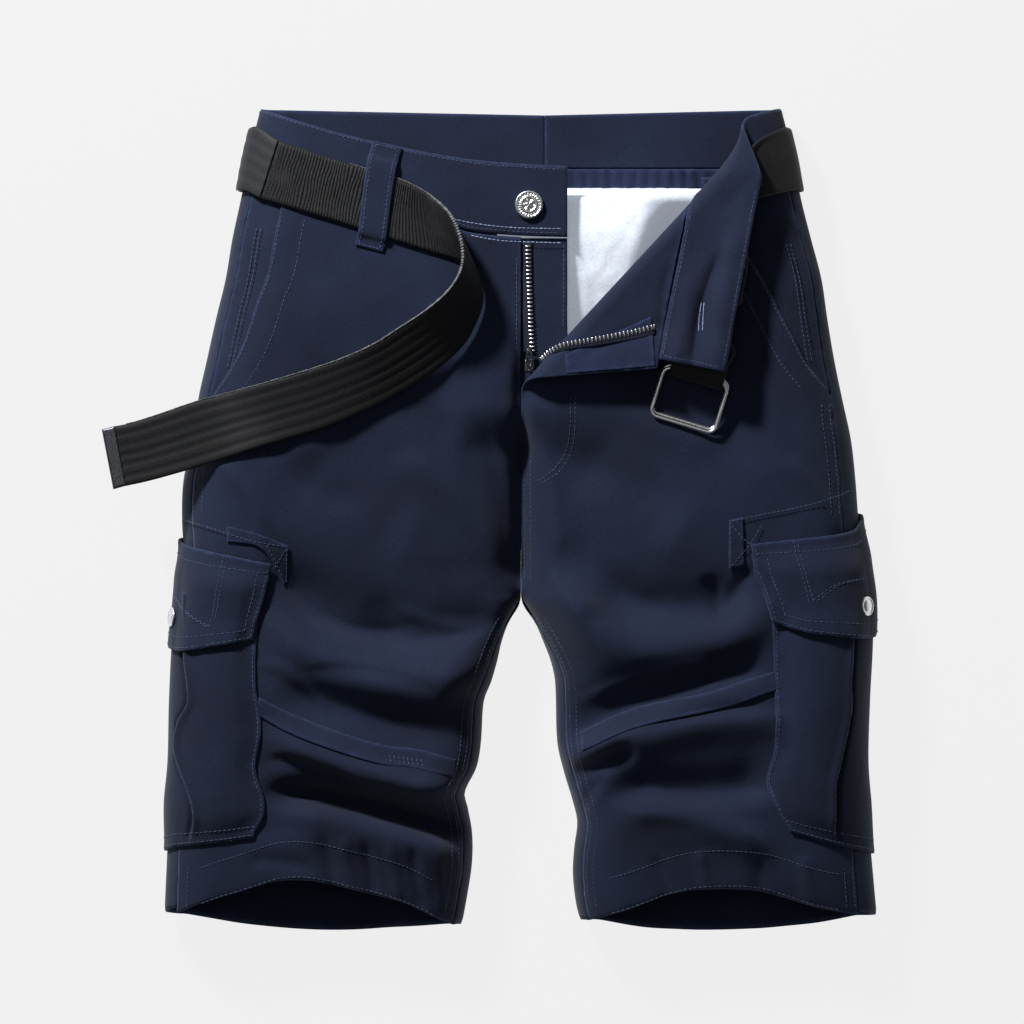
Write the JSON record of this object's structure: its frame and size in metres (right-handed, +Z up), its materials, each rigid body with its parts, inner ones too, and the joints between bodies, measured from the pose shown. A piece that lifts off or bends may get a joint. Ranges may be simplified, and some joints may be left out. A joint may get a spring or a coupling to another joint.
{
  "type": "cargo shorts",
  "caption": "Navy cargo shorts laid flat with the fly open, the waistband turned down and a webbing belt.",
  "frame": {"origin": "middle of the bounding box, on the surface that the shorts lie on", "axes": "+X to the right of the picture, +Y up to the waist, +Z up from the surface, out of the front"},
  "size_m": [0.5204, 0.556, 0.0822],
  "materials": {
    "navy_twill": "cotton twill, washed, matte",
    "white_pocketing": "thin plain-weave pocketing, matte",
    "black_webbing": "woven webbing, dull",
    "zip_tape": "woven tape, matte",
    "bright_steel": "nickel-plated, satin",
    "dark_steel": "dark nickel, satin"
  },
  "bodies": {
    "garment": {"front_left": "navy_twill", "front_right": "navy_twill", "back_left": "navy_twill", "back_right": "navy_twill", "waistband_left": "navy_twill", "waistband_right": "navy_twill", "waist_binding": "navy_twill", "hand_pocket_facing_left": "navy_twill", "hand_pocket_facing_right": "navy_twill", "cargo_pocket_left": "navy_twill", "cargo_pocket_right": "navy_twill", "cargo_flap_left": "navy_twill", "cargo_flap_right": "navy_twill", "knee_tape_left": "navy_twill", "knee_tape_right": "navy_twill", "reinforcement_left": "navy_twill", "reinforcement_right": "navy_twill", "fly_underlap": "navy_twill", "fly_facing": "navy_twill", "belt_loop_front_left": "navy_twill", "belt_loop_back_left": "navy_twill", "belt_loop_back_centre": "navy_twill", "belt_loop_back_right": "navy_twill", "pocketing_white": "white_pocketing", "belt": "black_webbing", "belt_tab": "black_webbing", "zip_tape_left": "zip_tape", "zip_tape_right": "zip_tape", "waist_button": "bright_steel", "snap_left": "bright_steel", "snap_right": "bright_steel", "slider": "dark_steel", "belt_tip": "dark_steel"},
    "pull_tab_body": {"pull_tab": "dark_steel"},
    "ring_lower_body": {"ring_lower": "bright_steel"},
    "ring_upper_body": {"ring_upper": "bright_steel"}
  },
  "joints": [
    {"name": "pull_tab_hinge", "type": "hinge", "parent": "garment", "child": "pull_tab_body", "pos_m": [0.02432, 0.1022, 0.0482], "axis": [1, 0, 0], "range_deg": [0, 110]},
    {"name": "ring_lower_hinge", "type": "hinge", "parent": "garment", "child": "ring_lower_body", "pos_m": [0.13592, 0.097, 0.0541], "axis": [-0.9564, 0.2921, 0], "range_deg": [0, 55]},
    {"name": "ring_upper_hinge", "type": "hinge", "parent": "ring_lower_body", "child": "ring_upper_body", "pos_m": [0.13592, 0.097, 0.0541], "axis": [-0.9564, 0.2921, 0], "range_deg": [0, 25]}
  ]
}
